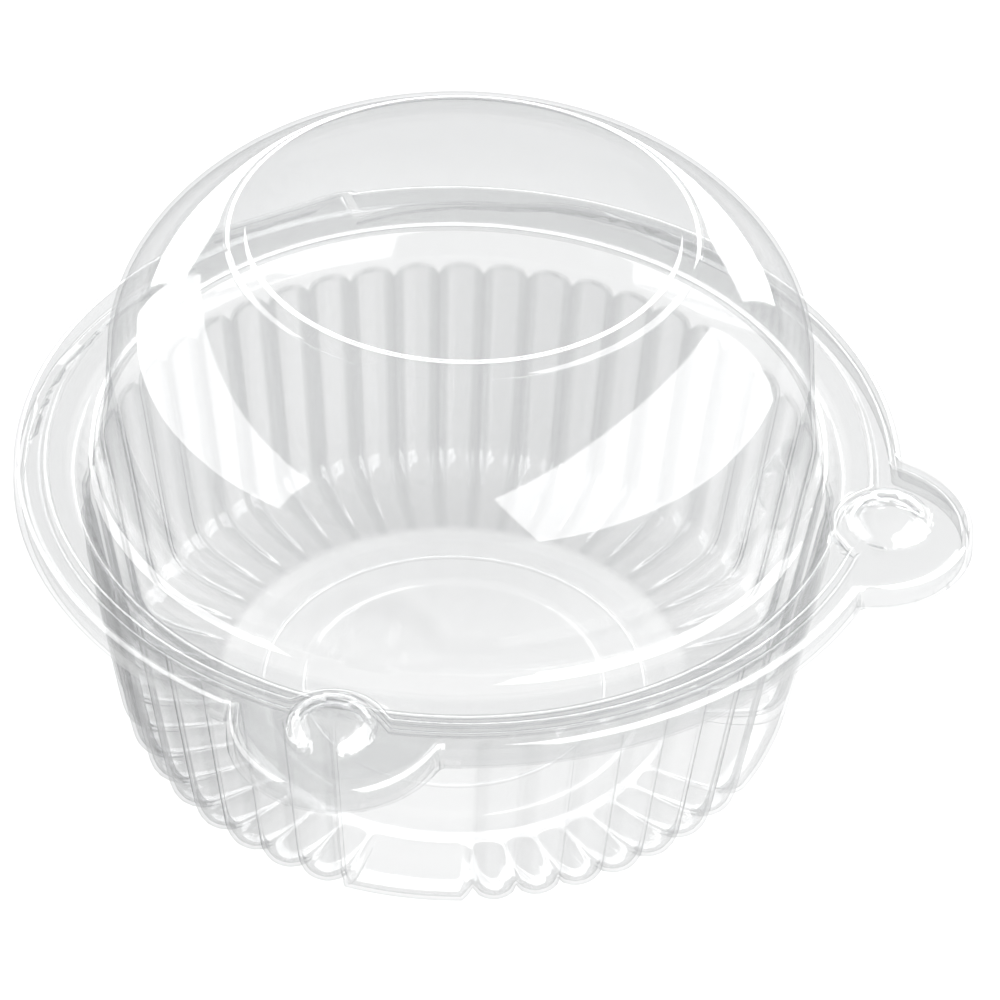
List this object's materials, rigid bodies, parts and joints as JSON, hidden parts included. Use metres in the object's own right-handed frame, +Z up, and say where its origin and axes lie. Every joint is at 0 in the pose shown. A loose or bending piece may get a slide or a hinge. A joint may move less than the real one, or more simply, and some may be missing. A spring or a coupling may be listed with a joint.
{
  "type": "hinged dome cupcake box",
  "caption": "Clear plastic box for one cupcake: a round fluted cup and a domed lid hinged together at the back, closed by press buttons on two round tabs at the front.",
  "frame": {"origin": "under the middle of the cup's floor, on the plane that the box stands on", "axes": "+Z up through the middle of the cup and the dome, +Y towards the hinge, so the two button tabs are at the front left and the front right"},
  "size_m": [0.104, 0.1025, 0.0696],
  "materials": {
    "cup_plastic": "clear thermoformed sheet, smooth and glossy",
    "lid_plastic": "clear thermoformed sheet, smooth and glossy"
  },
  "bodies": {
    "cup": {"fluted_cup": "cup_plastic"},
    "lid": {"domed_lid": "lid_plastic"}
  },
  "joints": [
    {"name": "lid_hinge", "type": "hinge", "parent": "cup", "child": "lid", "pos_m": [0, 0.05074, 0.0382], "axis": [-1, 0, 0], "range_deg": [0, 180]}
  ]
}
